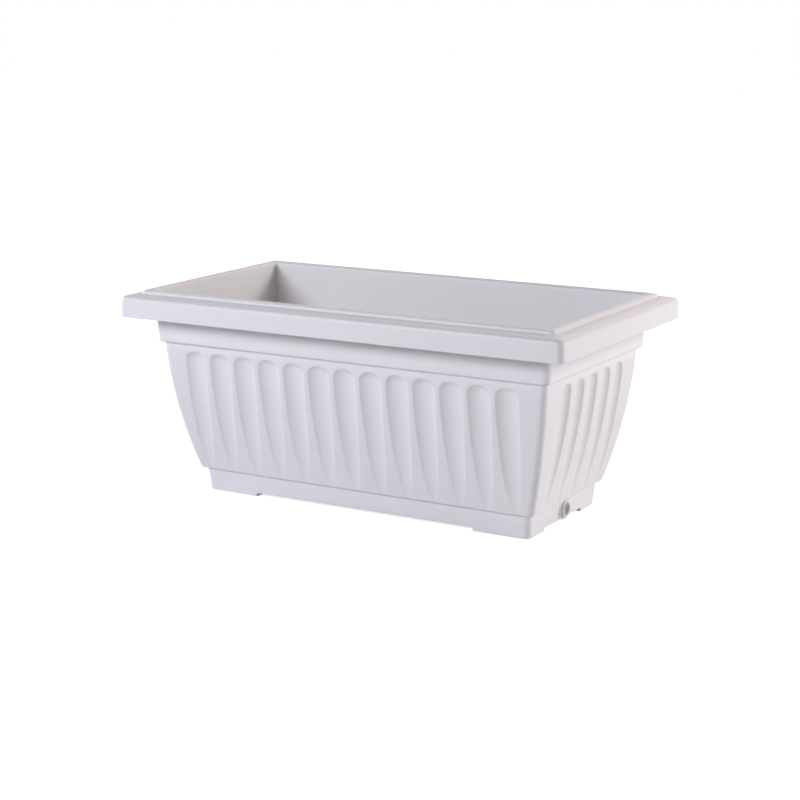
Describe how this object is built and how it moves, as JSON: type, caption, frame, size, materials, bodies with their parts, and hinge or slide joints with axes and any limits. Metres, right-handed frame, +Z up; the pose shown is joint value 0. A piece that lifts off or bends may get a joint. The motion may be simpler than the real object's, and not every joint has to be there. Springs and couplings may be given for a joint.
{
  "type": "versailles planter",
  "caption": "Long flared trough planter with a beaded rim, curved fluted walls, a low water-holding plinth on corner feet, a lift-out grid and a pull-out drain plug.",
  "frame": {"origin": "on the ground, under the middle of the planter", "axes": "+X along the length towards the end with the drain plug, +Y across towards the back, +Z up"},
  "size_m": [0.6, 0.33, 0.2575],
  "materials": {
    "shell_plastic": "satin white moulded polypropylene",
    "grid_plastic": "satin pale grey moulded polypropylene",
    "plug_plastic": "satin white moulded plastic",
    "seal_rubber": "matt black rubber"
  },
  "bodies": {
    "trough": {"trough_shell": "shell_plastic"},
    "grid": {"reservoir_grid": "grid_plastic"},
    "plug": {"drain_plug": "plug_plastic", "plug_seal": "seal_rubber"}
  },
  "joints": [
    {"name": "grid_lift", "type": "slide", "parent": "trough", "child": "grid", "axis": [0, 0, 1], "range_m": [0, 0.26]},
    {"name": "plug_pull", "type": "slide", "parent": "trough", "child": "plug", "axis": [1, 0, 0], "range_m": [0, 0.1]}
  ]
}
